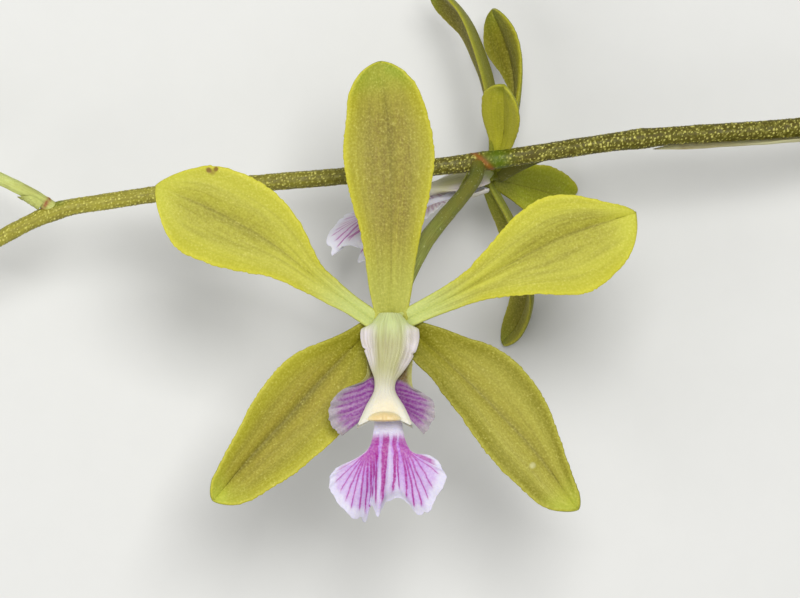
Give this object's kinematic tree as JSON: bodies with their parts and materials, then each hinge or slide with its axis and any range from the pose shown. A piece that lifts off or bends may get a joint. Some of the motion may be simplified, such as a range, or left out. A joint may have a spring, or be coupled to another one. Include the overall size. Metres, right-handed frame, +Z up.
{
  "type": "cut orchid stem",
  "caption": "Cut stem of an encyclia orchid lying on its back, with a star-shaped open flower in front, another behind the stem, and closed buds at the tip.",
  "frame": {"origin": "under the middle of the whole stem's bounding box, on the surface that it lies on", "axes": "+X along the stem towards its cut end, +Y up the front flower towards its dorsal sepal, +Z up from the surface"},
  "size_m": [0.1229, 0.0495, 0.0289],
  "materials": {
    "stem": "matte green skin with pale raised warts",
    "scale": "dry pale papery scale",
    "ovary": "satin grey-green skin",
    "tepal": "waxy satin yellow-green with a tan blush",
    "rear_tepal": "waxy satin yellow-green with a tan blush",
    "lip": "satin white with magenta veins",
    "column": "waxy cream",
    "anther": "waxy tan",
    "bud": "satin yellow-green"
  },
  "bodies": {
    "root": {"stem": "stem", "stem_sheath": "scale", "bract_main": "scale", "bract_left": "scale", "ovary": "ovary", "rear_ovary": "ovary", "bud_pedicel": "ovary", "bud": "bud", "tip_bud_upper": "bud", "tip_bud_end": "bud", "dorsal_sepal": "tepal", "petal_left": "tepal", "petal_right": "tepal", "lateral_sepal_left": "tepal", "lateral_sepal_right": "tepal", "lip": "lip", "column": "column", "anther_cap": "anther", "rear_dorsal_sepal": "rear_tepal", "rear_petal_far": "rear_tepal", "rear_petal_near": "rear_tepal", "rear_lateral_sepal_far": "rear_tepal", "rear_lateral_sepal_near": "rear_tepal", "rear_lip": "lip", "rear_column": "column", "rear_anther_cap": "anther"}
  },
  "joints": []
}
